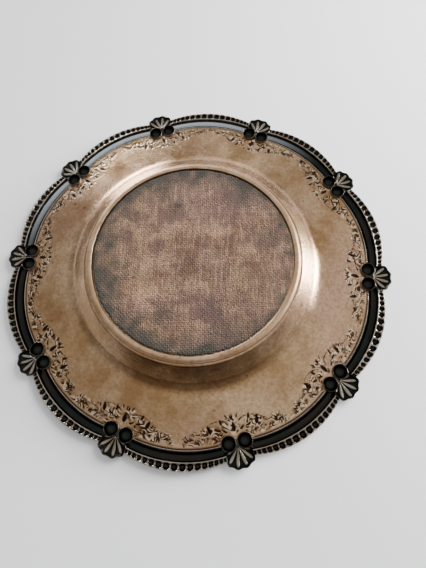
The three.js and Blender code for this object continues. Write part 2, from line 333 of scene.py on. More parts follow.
def ring_silver():
    """The same silver, rubbed duller by use, on the ring that it stands on."""
    material, tree, shader = new_material("ring_silver")
    place = place_of(tree)
    clouds = noise(tree, place, 45, 4, 0.6)
    wear = noise(tree, place, 340, 4, 0.7)
    tan = mixed(tree, ranged(tree, clouds, 0.36, 0.64), (0.44, 0.27, 0.145), (0.62, 0.42, 0.27))
    tan = mixed(tree, ranged(tree, wear, 0.52, 0.75, 0, 0.7), tan, (0.20, 0.11, 0.06))
    # painted shade in the ring's creases, from its field
    tan = mixed(tree, attribute(tree, "dirt"), tan, (0.07, 0.036, 0.018))
    tree.links.new(tan, shader.inputs["Base Color"])
    shader.inputs["Metallic"].default_value = 1.0
    tree.links.new(ranged(tree, wear, 0.3, 0.7, 0.34, 0.5), shader.inputs["Roughness"])
    bumped(tree, shader, wear, 0.3, 0.0002)
    return material


def border_silver(name, roughness):
    """Struck silver: tarnish lies black in the hollows, and the raised edges are rubbed free of it; a pale
    bluish painted reflection lies where its field is set.
    """
    material, tree, shader = new_material(name)
    place = place_of(tree)
    clouds = noise(tree, place, 90, 4, 0.6)
    stains = noise(tree, place, 30, 3, 0.6)
    grit = noise(tree, place, 800, 3)
    rubbed = mixed(tree, ranged(tree, clouds, 0.35, 0.65), (0.46, 0.37, 0.27), (0.70, 0.62, 0.52))
    black = mixed(tree, ranged(tree, stains, 0.5, 0.64), (0.014, 0.016, 0.014), (0.030, 0.020, 0.015))
    black = mixed(tree, ranged(tree, clouds, 0.5, 0.7, 0, 0.5), black, (0.028, 0.032, 0.032))
    black = mixed(tree, attribute(tree, "soot"), black, (0.027, 0.028, 0.023))
    grime = maths(tree, "MULTIPLY", attribute(tree, "dirt"), 1.12)
    grime = maths(tree, "ADD", grime, ranged(tree, grit, 0.3, 0.7, -0.10, 0.10))
    grime = node(tree, "ShaderNodeClamp", {"Value": grime}).outputs[0]
    tarnish_and_reflection = mixed(tree, grime, rubbed, black)
    # pale bluish painted reflection, where the field for it is set
    silver = mixed(tree, attribute(tree, "clean"), tarnish_and_reflection, (0.56, 0.61, 0.64))
    tree.links.new(silver, shader.inputs["Base Color"])
    shader.inputs["Metallic"].default_value = 1.0
    rough = ranged(tree, clouds, 0.3, 0.7, roughness, roughness + 0.14)
    tree.links.new(rough, shader.inputs["Roughness"])
    bumped(tree, shader, grit, 0.2, 0.0001)
    return material


def thread_wave(tree, coordinate, other, wander):
    """One set of threads: how high they stand, from 0 between them to 1, and going over and under."""
    rate = math.pi / (THREAD_PITCH * MM)
    u = maths(tree, "MULTIPLY", maths(tree, "ADD", coordinate, wander), rate)
    v = maths(tree, "MULTIPLY", other, rate)
    wave = maths(tree, "SINE", u)
    over = maths(tree, "MULTIPLY", maths(tree, "COSINE", v), maths(tree, "SIGN", wave))
    dip = maths(tree, "ADD", 1 - WEAVE_DIP, maths(tree, "MULTIPLY", over, WEAVE_DIP))
    return maths(tree, "MULTIPLY", maths(tree, "ABSOLUTE", wave), dip)


THREAD_WANDER = 0.0042  # how far in metres the dark lines between the threads stray


def pad_cloth():
    """Coarse plain weave, brown and mauve, with stains dark round its edge and in a few spots, and painted
    shade towards its edge except on the right.
    """
    material, tree, shader = new_material("pad_cloth")
    place = place_of(tree)
    turned = place_of(tree, (1, 1, 1), THREAD_TURN)
    axes = node(tree, "ShaderNodeSeparateXYZ", {0: turned}).outputs
    wander = maths(tree, "SUBTRACT", noise(tree, place, 130, 5, 0.75), 0.5)
    wander = maths(tree, "MULTIPLY", wander, THREAD_WANDER)
    warp = thread_wave(tree, axes[0], axes[1], wander)
    weft = thread_wave(tree, axes[1], axes[0], wander)
    threads = maths(tree, "MAXIMUM", warp, weft)
    patches = noise(tree, place, 60, 7, 0.78)
    mauve = noise(tree, place, 22, 3, 0.6)
    olive = noise(tree, place_of(tree, (1, 1, 1), 2.0), 30, 3, 0.6)
    slubs_across = noise(tree, place_of(tree, (1, 0.07, 1), THREAD_TURN), 800, 2, 0.7)
    slubs_along = noise(tree, place_of(tree, (0.07, 1, 1), THREAD_TURN), 800, 2, 0.7)
    cloth = mixed(tree, ranged(tree, patches, 0.41, 0.58), (0.115, 0.062, 0.039), (0.42, 0.255, 0.162))
    cloth = mixed(tree, ranged(tree, mauve, 0.48, 0.62, 0, 0.65), cloth, (0.165, 0.098, 0.086))
    cloth = mixed(tree, ranged(tree, olive, 0.54, 0.66, 0, 0.6), cloth, (0.20, 0.135, 0.072))
    cloth = mixed(tree, ranged(tree, slubs_across, 0.42, 0.66, 0, 0.45), cloth, (0.075, 0.040, 0.026))
    cloth = mixed(tree, ranged(tree, slubs_along, 0.46, 0.66, 0, 0.30), cloth, (0.070, 0.038, 0.027))
    pale = noise(tree, place_of(tree, (1, 0.12, 1), THREAD_TURN + 0.05), 620, 2, 0.7)
    cloth = mixed(tree, ranged(tree, pale, 0.52, 0.68, 0, 0.45), cloth, (0.42, 0.27, 0.18))
    damp = noise(tree, place_of(tree, (1, 1, 1), 3.0), 42, 5, 0.7)
    cloth = mixed(tree, ranged(tree, damp, 0.50, 0.60, 0, 0.72), cloth, (0.078, 0.050, 0.044))
    specks = noise(tree, place, 950, 2, 0.7)
    cloth = mixed(tree, ranged(tree, specks, 0.54, 0.66, 0, 0.75), cloth, (0.042, 0.025, 0.018))
    # stains and painted shade from the pad's field
    stained_and_shaded = mixed(tree, attribute(tree, "dirt"), cloth, (0.052, 0.046, 0.037))
    contrast = ranged(tree, noise(tree, place, 120, 3, 0.6), 0.35, 0.65, 0.30, 0.95)
    between = ranged(tree, threads, 0.45, 0.95, 1.0, 0.0)
    shade = maths(tree, "SUBTRACT", 1.12, maths(tree, "MULTIPLY", contrast, between))
    grey = node(tree, "ShaderNodeCombineXYZ", {0: shade, 1: shade, 2: shade}).outputs[0]
    tree.links.new(mixed(tree, 1.0, stained_and_shaded, grey, "MULTIPLY"), shader.inputs["Base Color"])
    shader.inputs["Roughness"].default_value = 0.88
    shader.inputs["Specular IOR Level"].default_value = 0.25
    shader.inputs["Sheen Weight"].default_value = 0.08
    fibres = noise(tree, place_of(tree, (1, 0.3, 1), THREAD_TURN), 2500, 3, 0.7)
    fibres = maths(tree, "MULTIPLY", fibres, 0.5)
    bumped(tree, shader, maths(tree, "ADD", maths(tree, "MULTIPLY", threads, 1.6), fibres), 0.6, 0.0003)
    return material


def floor_white():
    """Plain pale studio floor."""
    material, tree, shader = new_material("floor_white")
    shader.inputs["Base Color"].default_value = (0.86, 0.86, 0.88, 1)
    shader.inputs["Roughness"].default_value = 0.9
    return material


# ---------------------------------------------------------------- chased sprays

def leaf(start, end, width, bend=0.0, steps=9):
    """Discs (x, y, radius) along a leaf-shaped stroke that is fullest a third of the way."""
    start, end = np.array(start, float), np.array(end, float)
    way = end - start
    t = np.linspace(0, 1, steps)
    line = start + np.outer(t, way) + np.outer(bend * 4 * t * (1 - t), left_of(way))
    radius = width / 2 * np.sin(math.pi * np.clip(t, 0.03, 0.97) ** 0.6) ** 0.8
    return np.column_stack([line, radius])


def stem(start, end, width, bend, steps=24):
    """Discs along a thin curved line of even width."""
    discs = leaf(start, end, width, bend, steps)
    discs[:, 2] = width / 2
    return discs


LEAF_GAP = 0.55  # between the roots of the leaves in a fan


def leaf_fan(rng, centre, heading, count, spread, length, width):
    """Small curved leaves side by side, opening like a fan. Angles are in degrees, lengths in mm."""
    strokes = []
    for k in range(count):
        turn = math.radians(heading + spread * ((k + 0.5) / count - 0.5) + rng.uniform(-7, 7))
        way = np.array([math.cos(turn), math.sin(turn)])
        start = np.array(centre) + left_of(way) * (k - (count - 1) / 2) * LEAF_GAP
        start = start + rng.uniform(-0.15, 0.15, 2)
        end = start + way * (length * rng.uniform(0.75, 1.15))
        strokes.append(leaf(start, end, width * rng.uniform(0.8, 1.2), rng.uniform(0.08, 0.2)))
    return strokes


# centre across and out, heading, how many leaves, spread, leaf length and width
FANS = (
    ((7.0, 105.4), 20, 4, 60, 2.2, 0.6),
    ((9.4, 109.4), 10, 4, 80, 2.0, 0.55),
    ((12.4, 106.6), 110, 4, 80, 2.3, 0.6),
    ((17.4, 107.2), 70, 5, 90, 2.4, 0.6),
    ((19.4, 103.6), 150, 4, 70, 1.9, 0.55),
    ((22.4, 108.2), 100, 5, 90, 2.4, 0.65),
    ((30.4, 109.0), 120, 5, 70, 2.2, 0.6),
)


def spray(rng):
    """All discs of one spray: across from the mount, radius of the place, and size of the disc.

    Both sides are laid out alike, each with drift of its own.
    """
    strokes = []
    for side in (-1, 1):
        own = [
            leaf((0.0, 104.6), (0.0, 99.8), 2.6),
            leaf((0.4, 98.2), (0.5, 95.6), 1.1),
            leaf((3.4, 105.0), (6.8, 102.4), 1.3, 0.12),
            leaf((3.4, 100.0), (6.6, 98.6), 1.0, -0.14),
            leaf((7.6, 103.6), (11.4, 102.2), 1.4, 0.1),
            leaf((2.6, 97.6), (3.8, 95.4), 0.9),
            leaf((8.0 + 1.4 * side, 100.6), (8.8 + 1.6 * side, 97.4), 1.7),
            leaf((13.8, 104.2), (14.8, 99.6), 2.7),
            leaf((16.6, 103.4), (17.6, 101.4), 1.1),
            leaf((24.2, 107.2), (27.0, 105.0), 1.1, 0.2),
            leaf((25.8, 107.8), (28.8, 105.6), 1.1, 0.2),
            leaf((27.6, 108.2), (30.4, 106.2), 1.0, 0.2),
            stem((4.6, 106.4), (15.4, 107.0), 0.45, 0.1),
            stem((15.4, 107.0), (24.0, 105.2), 0.45, -0.14),
            stem((24.0, 105.2), (32.4, 108.0), 0.4, 0.12),
            stem((5.0, 99.4), (13.4, 99.6), 0.4, -0.14),
        ]
        for centre, heading, count, spread, length, width in FANS:
            own += leaf_fan(rng, centre, heading, count, spread, length, width)
        for discs in own:
            across, out = rng.uniform(-0.3, 0.3, 2)
            discs = discs + (across, out, 0)
            strokes.append(discs * (side, 1, 1))
    return np.concatenate(strokes)


def chasing(x, y):
    """How deep the chased strokes go at each point, from 0 to 1."""
    depth = np.zeros(x.size)
    bearing, radius = np.arctan2(y, x), np.hypot(x, y)
    for i in range(LOBES):
        rng = np.random.default_rng(70 + i)
        apart = np.mod(bearing - i * LOBE + math.pi, 2 * math.pi) - math.pi
        near = np.flatnonzero(np.abs(apart) < LOBE * 0.6)
        u, v = apart[near] * radius[near], radius[near]
        order = np.argsort(u)
        near, u, v = near[order], u[order], v[order]
        for cx, cy, r in spray(rng):
            low, high = np.searchsorted(u, (cx - r, cx + r))
            d2 = ((u[low:high] - cx) ** 2 + (v[low:high] - cy) ** 2) / r**2
            hit = near[low:high]
            depth[hit] = np.maximum(depth[hit], np.sqrt(np.clip(1 - d2, 0, 1)))
    return depth


# the radius that the lace of fine lines reaches in to, by the distance along the edge from the mount
LACE_ALONG = (0, 4, 9, 15, 19, 24, 29, 34)
LACE_INNER = (96.0, 96.8, 99.6, 99.2, 103.2, 103.6, 104.6, 108.0)
CROSS_AT, CROSS_SLOPE, CROSS_REACH = 102.2, 0.85, 6.5


def cross(x, y):
    """Two plain ribbons that cross at each mount, from 0 to 1."""
    radius, apart = np.hypot(x, y), from_mount(np.arctan2(y, x))
    along = np.abs(apart) * radius
    off = np.abs(np.abs(radius - CROSS_AT) - CROSS_SLOPE * along)
    ends = (1 - smooth(along, CROSS_REACH - 1, CROSS_REACH)) * smooth(along, 1.4, 2.2)
    return (1 - smooth(off, 0.35, 0.8)) * ends


def lace(x, y, edge):
    """Where the ground between the strokes is chased with fine curling lines, from 0 to 1."""
    radius, apart = np.hypot(x, y), from_mount(np.arctan2(y, x))
    inner = np.interp(np.abs(apart) * radius, LACE_ALONG, LACE_INNER) + 0.5 * waves(42, x, y, 5)
    cover = smooth(radius, inner - 0.5, inner + 0.8) * (1 - smooth(radius, edge - 2.0, edge - 1.2))
    return cover * np.clip(0.62 + 0.5 * waves(41, x, y, 6.5), 0, 1)


# ---------------------------------------------------------------- tray, ring and pad

FINE, COARSE = 1600, 400  # points round a fine row and round a coarse one
WELL_FIRST_R, RIM_STEP = 3.0, 1.4  # the first row's radius, and the step between the rim's coarse rows
CHASED_FROM, CHASED_ROWS = 94.0, 46
BELOW_RIM = (104.0, 96.0, 89.0)
EDGE_SQUEEZE = 0.25  # how close together the rim's rows get where the edge comes in
CHASE_DEPTH = 0.25
RIM_WAVE = 0.10  # height of the rim's soft unevenness

# bearing in degrees, radius, size and darkness
STAINS = ((-118, 71.5, 1.5, 0.95), (-104, 74.0, 0.9, 0.5), (155, 88.0, 1.1, 0.5), (-75, 90.0, 1.3, 0.35))

# radius, width and darkness of the dark lines of painted reflection on the near slope
PAINTED_NEAR_REFLECTIONS = ((68.3, 0.4, 0.9), (70.8, 0.4, 0.65), (73.4, 0.5, 0.5), (76.4, 0.5, 0.3), (79.4, 0.8, 0.25))


def cup_notch(bearing, edge):
    """The edge radius, drawn in where the mounts' round cups sit in it."""
    apart = from_mount(bearing)
    centre_r, centre_a = math.hypot(CUP_X, CUP_Y), math.atan2(CUP_Y, CUP_X)
    for side in (-1, 1):
        offset = apart - side * centre_a
        chord = CUP_R**2 - (centre_r * np.sin(offset)) ** 2
        inner = centre_r * np.cos(offset) - np.sqrt(np.clip(chord, 0, None))
        edge = np.where((chord > 0) & (np.abs(offset) < LOBE / 4), np.minimum(edge, inner), edge)
    return edge


def tray_rows():
    """The tray's section from the well's middle out to the edge and back below it.

    Each row is a radius, a height, whether it is on the cone of the broad rim, and its point count.
    The number of rows above, and the cone's slope, come with them.
    """
    line, normal = rounded_line([(WELL_FIRST_R, WELL_Z), (SHOULDER_R, WELL_Z, SHOULDER_ROUND),
                                 (BOOGE_FOOT_R, BOOGE_FOOT_Z, BOOGE_FOOT_ROUND), (SEAM[0], EDGE_Z)], 9)
    foot, end = line[-2], line[-1]
    rows = [(r, z, False, COARSE) for r, z in line[:-1]]
    for r in np.arange(foot[0] + RIM_STEP, CHASED_FROM, RIM_STEP):
        rows.append((r, np.interp(r, *zip(foot, end)), True, COARSE))
    for r in np.linspace(CHASED_FROM, SEAM[0], CHASED_ROWS):
        rows.append((r, np.interp(r, *zip(foot, end)), True, FINE))
    upper = len(rows)
    rows.append((SEAM[0] + 0.12, EDGE_Z - SHEET / 2, True, FINE))
    rows.append((SEAM[0], EDGE_Z - SHEET, True, FINE))
    for r in BELOW_RIM:
        rows.append((r, np.interp(r, *zip(foot, end)) - SHEET, True, COARSE))
    for point, way in zip(line[-2::-1], normal[-2::-1]):
        rows.append((*(point - way * SHEET), False, COARSE))
    return rows, upper, (end[1] - foot[1]) / (end[0] - foot[0])


def tray_dirt(x, y, edge):
    """Tarnish along the edge, lighter on the far side as painted light; stains; and dark lines of painted
    reflection on the near slope.
    """
    radius, bearing = np.hypot(x, y), np.arctan2(y, x)
    # dark line of tarnish along the edge, made half as dark on the far side as painted light
    far = smooth(np.sin(bearing), 0.3, 0.95)
    line = smooth(radius, edge - 1.1, edge - 0.55) * (1 - 0.5 * far)
    dirt = 0.9 * line * smooth(np.abs(from_mount(bearing)) * radius, 9.5, 11.0)
    for degrees, r, size, dark in STAINS:
        a = math.radians(degrees)
        away = (x - r * math.cos(a)) ** 2 + (y - r * math.sin(a)) ** 2
        dirt = dirt + dark * np.exp(-away / size**2)
    # painted reflection: dark lines on the near side of the slope only
    near = smooth(-np.sin(bearing + 0.15), 0.45, 0.95)
    streak = 0.6 + 0.4 * np.clip(waves(5, 30 * np.cos(bearing), 30 * np.sin(bearing), 11), -1, 1)
    for r, width, dark in PAINTED_NEAR_REFLECTIONS:
        dirt = dirt + dark * near * streak * np.exp(-(((radius - r) / width) ** 2))
    return dirt


def make_tray(material):
    """Dished sheet: flat well, slope and broad rim, chased near the edge, which follows the lobes."""
    rows, upper, slope = tray_rows()
    counts = [count for _, _, _, count in rows]
    firsts = np.concatenate([[0], np.cumsum(counts)])
    bearing = np.concatenate([np.arange(count) * 2 * math.pi / count for count in counts])
    row_r, row_z, on_rim = (np.repeat([row[k] for row in rows], counts) for k in range(3))
    edge = cup_notch(bearing, lobe_radius(SEAM, in_lobe(bearing)))
    squeezed = np.minimum(row_r, edge - EDGE_SQUEEZE * (SEAM[0] - row_r))
    radius = np.where(on_rim, squeezed, row_r)
    x, y = radius * np.cos(bearing), radius * np.sin(bearing)
    z = row_z + (radius - row_r) * slope
    z = z + RIM_WAVE * waves(3, x, y, 60) * smooth(radius, 84, 100) * (1 - smooth(radius, 106, 112))
    above = np.arange(len(x)) < firsts[upper]
    chased = above & (row_r > CHASED_FROM)
    cuts = np.zeros(len(x))
    cuts[chased] = chasing(x[chased], y[chased]) * smooth(edge[chased] - radius[chased], 0.2, 0.6)
    plain = 1 - cross(x, y)
    points = np.column_stack([x, y, z - CHASE_DEPTH * cuts * plain])
    blocks = [band_faces(*pair) for pair in zip(firsts, counts, firsts[1:], counts[1:])]
    blocks.append(np.arange(COARSE)[None, :])
    blocks.append(firsts[-2] + np.arange(COARSE)[None, ::-1])
    add_piece("tray_sheet", points, blocks, material, "tray_silver", "tray_body",
              dirt=np.where(above, tray_dirt(x, y, edge), 0.15), strokes=cuts * plain,
              lace=above * plain * lace(x, y, edge))


RING_STATIONS = 480
RING_DENT, RING_WEAR = 0.06, 0.05  # depths of its dents at the side and of its wear on top


def make_ring(material):
    """Foot ring: a low band with a soft rounded back, soldered on round the well's edge."""
    bearing = np.arange(RING_STATIONS) * 2 * math.pi / RING_STATIONS
    corners = [(RING_INNER_R, WELL_Z), (RING_INNER_R + 0.1, RING_TOP_Z - 0.25, 0.45),
               (RING_OUTER_R - 1.6, RING_TOP_Z + 0.05, 2.2), (RING_OUTER_R - 0.1, RING_TOP_Z - 0.9, 1.4),
               (RING_OUTER_R + 0.5, WELL_Z + 0.12)]
    line, _ = rounded_line(corners, 7)
    base = np.array([[RING_OUTER_R + 0.3, WELL_Z - 0.3], [RING_INNER_R + 0.2, WELL_Z - 0.3]])
    profile = np.concatenate([line, base])
    r, z = profile[:, 0][:, None], np.minimum(profile[:, 1], RING_TOP_Z)[:, None]
    dent = RING_DENT * np.abs(waves(11, 40 * np.cos(bearing), 40 * np.sin(bearing), 9))
    x, y = (r - dent) * np.cos(bearing), (r - dent) * np.sin(bearing)
    height = z - RING_WEAR * np.abs(waves(12, x, y, 14)) * smooth(z, WELL_Z + 0.5, RING_TOP_Z)
    # painted shade in the creases where the ring meets the tray and the cloth
    at_foot = 1 - smooth(z, WELL_Z + 0.1, WELL_Z + 0.7)
    at_cloth = 1 - smooth(r, RING_INNER_R, RING_INNER_R + 0.3)
    dirt = (0.8 * at_foot + 0.7 * at_cloth) * np.ones_like(x)
    points = np.stack([x, y, height], -1).reshape(-1, 3)
    blocks = [grid_faces(len(profile), RING_STATIONS, close_rows=True)]
    add_piece("foot_ring_soldered", points, blocks, material, "ring_silver", "foot_ring", dirt=dirt.ravel())


PAD_GRID = 308  # points each way over the pad
FRAY, THREAD_HEIGHT = 0.3, 0.26  # depths of the frayed edge and of the dips between threads

# x, y and size of the small stains
PAD_SPOTS = ((-37.0, -18.5, 0.9), (6.5, -22.0, 1.4), (47.0, 31.0, 1.6), (53.0, 24.0, 1.4),
             (-20.0, 40.0, 3.4), (-52.0, 4.0, 4.0), (-47.0, -8.0, 3.0), (-46.0, -18.0, 2.2),
             (20.0, -8.0, 0.9), (-12.0, 34.0, 2.6))


def threads_across(u, v):
    """Height of one set of threads, from 0 between them to 1, going over and under."""
    wave = np.sin(math.pi * u)
    return np.abs(wave) * (1 - WEAVE_DIP + WEAVE_DIP * np.cos(math.pi * v) * np.sign(wave))


def weave(x, y):
    """Height of a plain weave from 0 to 1."""
    c, s = math.cos(THREAD_TURN), math.sin(THREAD_TURN)
    u, v = (x * c - y * s) / THREAD_PITCH, (x * s + y * c) / THREAD_PITCH
    return np.maximum(threads_across(u, v), threads_across(v, u))


def pad_stains_and_shade(x, y, share):
    """Dark stains on the pad: ragged ones round its edge, a few clouds and some spots, with painted shade
    towards the edge.
    """
    bearing = np.arctan2(y, x)
    ragged = 0.03 * waves(33, x, y, 7)
    depth = 0.075 + 0.075 * np.clip(waves(34, x, y, 32), -0.8, 1)
    # painted shade: the ragged dark band round the edge is wider on the left and at the near and far sides
    depth = depth + 0.05 * smooth(-x, 20, 60) + 0.05 * smooth(np.abs(y), 30, 60)
    dark = 0.6 * smooth(share + ragged, 0.98 - depth, 1.06 - 0.2 * depth)
    dark = dark + 0.35 * np.clip(waves(35, x, y, 17) - 0.9, 0, 1)
    # painted shade: darker towards the edge all round except on the right
    dark = dark + 0.5 * smooth(share, 0.70, 0.95) * (1 - 0.85 * smooth(np.cos(bearing), 0.55, 1))
    for spot_x, spot_y, size in PAD_SPOTS:
        dark = dark + 0.7 * np.exp(-((x - spot_x) ** 2 + (y - spot_y) ** 2) / size**2)
    return dark


def make_pad(material):
    """Round of woven cloth that lies inside the ring, a little frayed at its edge."""
    row = np.linspace(-1, 1, PAD_GRID)
    u, v = np.meshgrid(row, row, indexing="ij")
    x, y = u * np.sqrt(1 - v**2 / 2), v * np.sqrt(1 - u**2 / 2)
    share, bearing = np.hypot(x, y), np.arctan2(y, x)
    frayed = np.minimum(np.abs(waves(31, 60 * np.cos(bearing), 60 * np.sin(bearing), 2.2)), 2)
    edge = PAD_R - 0.15 - FRAY * frayed
    x, y = x * edge, y * edge
    swell = np.clip(0.10 * waves(32, x, y, 30) - 0.08, -0.4, 0.08)
    rolled = 0.5 * smooth(share, 0.985, 1.0)
    z = np.minimum(PAD_TOP_Z - 0.10 - THREAD_HEIGHT * (1 - weave(x, y)) + swell - rolled, PAD_TOP_Z)
    top = np.stack([x, y, z], -1).reshape(-1, 3)
    border = grid_border(PAD_GRID, PAD_GRID)
    count, first = len(border), len(top)
    low, ahead = first + np.arange(count), np.roll(np.arange(count), -1)
    under = top[border] * (1, 1, 0) + (0, 0, WELL_Z)
    side = np.column_stack([border, border[ahead], low[ahead], low])
    blocks = [grid_faces(PAD_GRID, PAD_GRID, close_columns=False), side[:, ::-1], low[None, ::-1]]
    dirt = np.concatenate([pad_stains_and_shade(x, y, share).ravel(), np.ones(count)])
    points = np.concatenate([top, under])
    piece = add_piece("pad_woven", points, blocks, material, "pad_cloth", "base_pad", dirt=dirt)


# ---------------------------------------------------------------- border strips

UNDER_FAN_Z = 1.1  # height of the strips' ends where a fan covers them
BEAD_STEPS = 6  # sections to a bead
REFLECTION_BEARING = math.radians(115)  # bearing at which the hollow band takes most of its pale painted reflection


def shell_reach(angle):
    """How far an oval through the fan's root reaches at an angle from the root."""
    half_length = (SHELL_X + SHELL_LENGTH - FAN_ROOT_X) / 2
    along, across = np.cos(angle) / half_length, np.sin(angle) / SHELL_WIDTH
    return 2 * along / (along**2 + across**2)


def under_cups(x, y, z):
    """The heights, lowered into the metal of either cup where they lie inside it, in a mount's frame."""
    share = np.hypot(x - CUP_X, np.abs(y) - CUP_Y) / CUP_R
    metal = CUP_TOP_Z - (CUP_TOP_Z - CUP_FOOT_Z) * np.sqrt(np.clip(1 - share**2, 0, 1)) + 0.1
    return np.where(share < 1, np.minimum(z, metal), z)


def fitted_to_mounts(points):
    """The same points, with those of a strip's ends lowered to pass under the cups and fans."""
    radius, bearing = np.hypot(points[:, 0], points[:, 1]), np.arctan2(points[:, 1], points[:, 0])
    apart = from_mount(bearing)
    x, y = radius * np.cos(apart), radius * np.sin(apart)
    angle = np.arctan2(y, x - FAN_ROOT_X)
    inside = shell_reach(angle) * 0.96 - np.hypot(x - FAN_ROOT_X, y)
    under = smooth(inside, 0.0, 0.5) * (np.abs(angle) < math.pi / 2)
    z = points[:, 2] + (np.minimum(points[:, 2], UNDER_FAN_Z) - points[:, 2]) * under
    return np.column_stack([points[:, :2], under_cups(x, y, z)])


def bead_sizes():
    """Sizes of a strip's beads, which shrink towards its ends."""
    middle = (np.arange(BEADS) + 0.5) * 2 / BEADS - 1
    return END_BEAD + (1 - END_BEAD) * np.cos(middle * math.pi / 2) ** 2


def bead_stations(per_bead):
    """Shares of a strip's length with, for each, the bead's number and the place in it."""
    edges = np.concatenate([[0], np.cumsum(bead_sizes())]) / np.sum(bead_sizes()) * 2 - 1
    place = np.linspace(-1, 1, per_bead, endpoint=False)
    share = edges[:-1, None] + (edges[1:] - edges[:-1])[:, None] * (place + 1) / 2
    number = np.repeat(np.arange(BEADS), per_bead)
    return (np.append(share, 1.0), np.append(number, BEADS - 1), np.append(np.tile(place, BEADS), 1.0))


def strip_section(seam, fillet, lip, place, size, clean):
    """The upper face at one station, from the seam out.

    Each row is a radius, a height, how tarnished it is and how much pale painted reflection it takes.
    """
    rows = []
    for t in np.linspace(0, 1, 5):  # the thin ridge that laps the tray's edge
        rows.append((seam + RIDGE_WIDTH * t, RIDGE_FOOT_Z + 0.4 * math.sin(math.pi * t), 0.12, 0))
    inner, wall = seam + RIDGE_WIDTH, fillet - COVE_WALL
    for t in np.linspace(0, 1, 16)[1:]:  # the hollow band
        height = COVE_FOOT_Z + (RIDGE_FOOT_Z - COVE_FOOT_Z) * (1 - smooth(t, 0.0, 0.42))
        height = height + COVE_TURN_UP * smooth(t, 0.72, 1)
        rows.append((inner + (wall - inner) * t, height, 1.0, clean * smooth(t, 0.1, 0.4)))
    wall_foot_z = COVE_FOOT_Z + COVE_TURN_UP
    for t in (0.25, 0.5, 0.75, 0.95):  # its steep outer wall
        rows.append((wall + (COVE_WALL - 0.05) * t, wall_foot_z + (FILLET_Z - wall_foot_z) * t,
                     1.0 - 0.6 * t**3, 0))
    for t in np.linspace(0, 1, 4):  # the fillet
        rows.append((fillet + FILLET_WIDTH * t, FILLET_Z + 0.1 * math.sin(math.pi * t), 0.25, 0))
    bead_from = fillet + FILLET_WIDTH
    out = lip - 0.45 * size * (1 - math.sqrt(max(0.0, 1 - 0.9 * place**2)))
    bead_to = out - LIP_WIDTH
    middle, reach = (bead_from + bead_to) / 2, (bead_to - bead_from) / 2
    for t in np.linspace(0, 1, 15)[1:]:  # a bead, hollow from this side
        r = bead_from + (bead_to - bead_from) * t
        round_off = ((r - middle) / reach) ** 2 + (place / 0.93) ** 2
        hollow = math.sqrt(max(0.0, 1 - round_off)) * BEAD_DEPTH * (0.5 + 0.5 * size)
        height = FILLET_Z - 0.2 + (LIP_Z - FILLET_Z) * t - hollow
        rows.append((r, height, 0.35 + smooth(hollow, 0.05, 0.5), 0))
    for t in (0.35, 0.7, 1.0):  # the scalloped lip
        rows.append((bead_to + LIP_WIDTH * t, LIP_Z - 0.2 + 0.15 * math.sin(math.pi * t) - 0.15 * t, 0.4, 0))
    return np.array(rows)


def under_line(line, thickness, steps=20):
    """The face below: as far under the upper one as a ball of the metal's thickness reaches."""
    fine = np.linspace(line[0, 0], line[-1, 0], 220)
    height = np.interp(fine, line[:, 0], line[:, 1])
    wanted = np.linspace(line[0, 0], line[-1, 0], steps)
    apart = fine[None, :] - wanted[:, None]
    ball = np.sqrt(np.clip(thickness**2 - apart**2, 0, None))
    low = np.where(np.abs(apart) <= thickness, height[None, :] - ball, np.inf).min(1)
    return np.column_stack([wanted, np.maximum(low, 0.02)])


def make_strip(index, material):
    """Struck length of border over one lobe."""
    share, number, place = bead_stations(BEAD_STEPS)
    middle = (index + 0.5) * LOBE
    rng = np.random.default_rng(200 + index)
    sizes = bead_sizes() * (1 + 0.07 * rng.standard_normal(BEADS))
    loops, dirt, clean = [], [], []
    for s, k, p in zip(share, number, place):
        angle = s * STRIP_HALF_ANGLE
        bearing = middle + angle
        # share of pale painted reflection on the hollow band, most towards the far left
        tarnish_and_reflection = 0.95 * smooth(math.cos(bearing - REFLECTION_BEARING), 0.35, 1.0)
        section = strip_section(lobe_radius(SEAM, angle) + 0.12, lobe_radius(FILLET, angle),
                                lobe_radius(LIP, angle), p, sizes[k], tarnish_and_reflection)
        below = under_line(section, STRUCK)[::-1]
        r, z = np.concatenate([section[:, :2], below]).T
        loops.append(np.column_stack([r * math.cos(bearing), r * math.sin(bearing), z]))
        dirt.append(np.concatenate([section[:, 2], np.full(len(below), 0.3)]))
        clean.append(np.concatenate([section[:, 3], np.zeros(len(below))]))
    count = len(loops[0])
    ends = np.stack([np.arange(count)[::-1], (len(loops) - 1) * count + np.arange(count)])
    blocks = [grid_faces(len(loops), count)[:, ::-1], ends]
    points = fitted_to_mounts(np.concatenate(loops))
    add_piece(f"strip_{index + 1:02d}", points, blocks, material, "border_silver",
              f"border_strip_{index + 1:02d}", dirt=np.concatenate(dirt), clean=np.concatenate(clean),
              soot=np.full(len(points), 0.3))


# ---------------------------------------------------------------- shell mounts

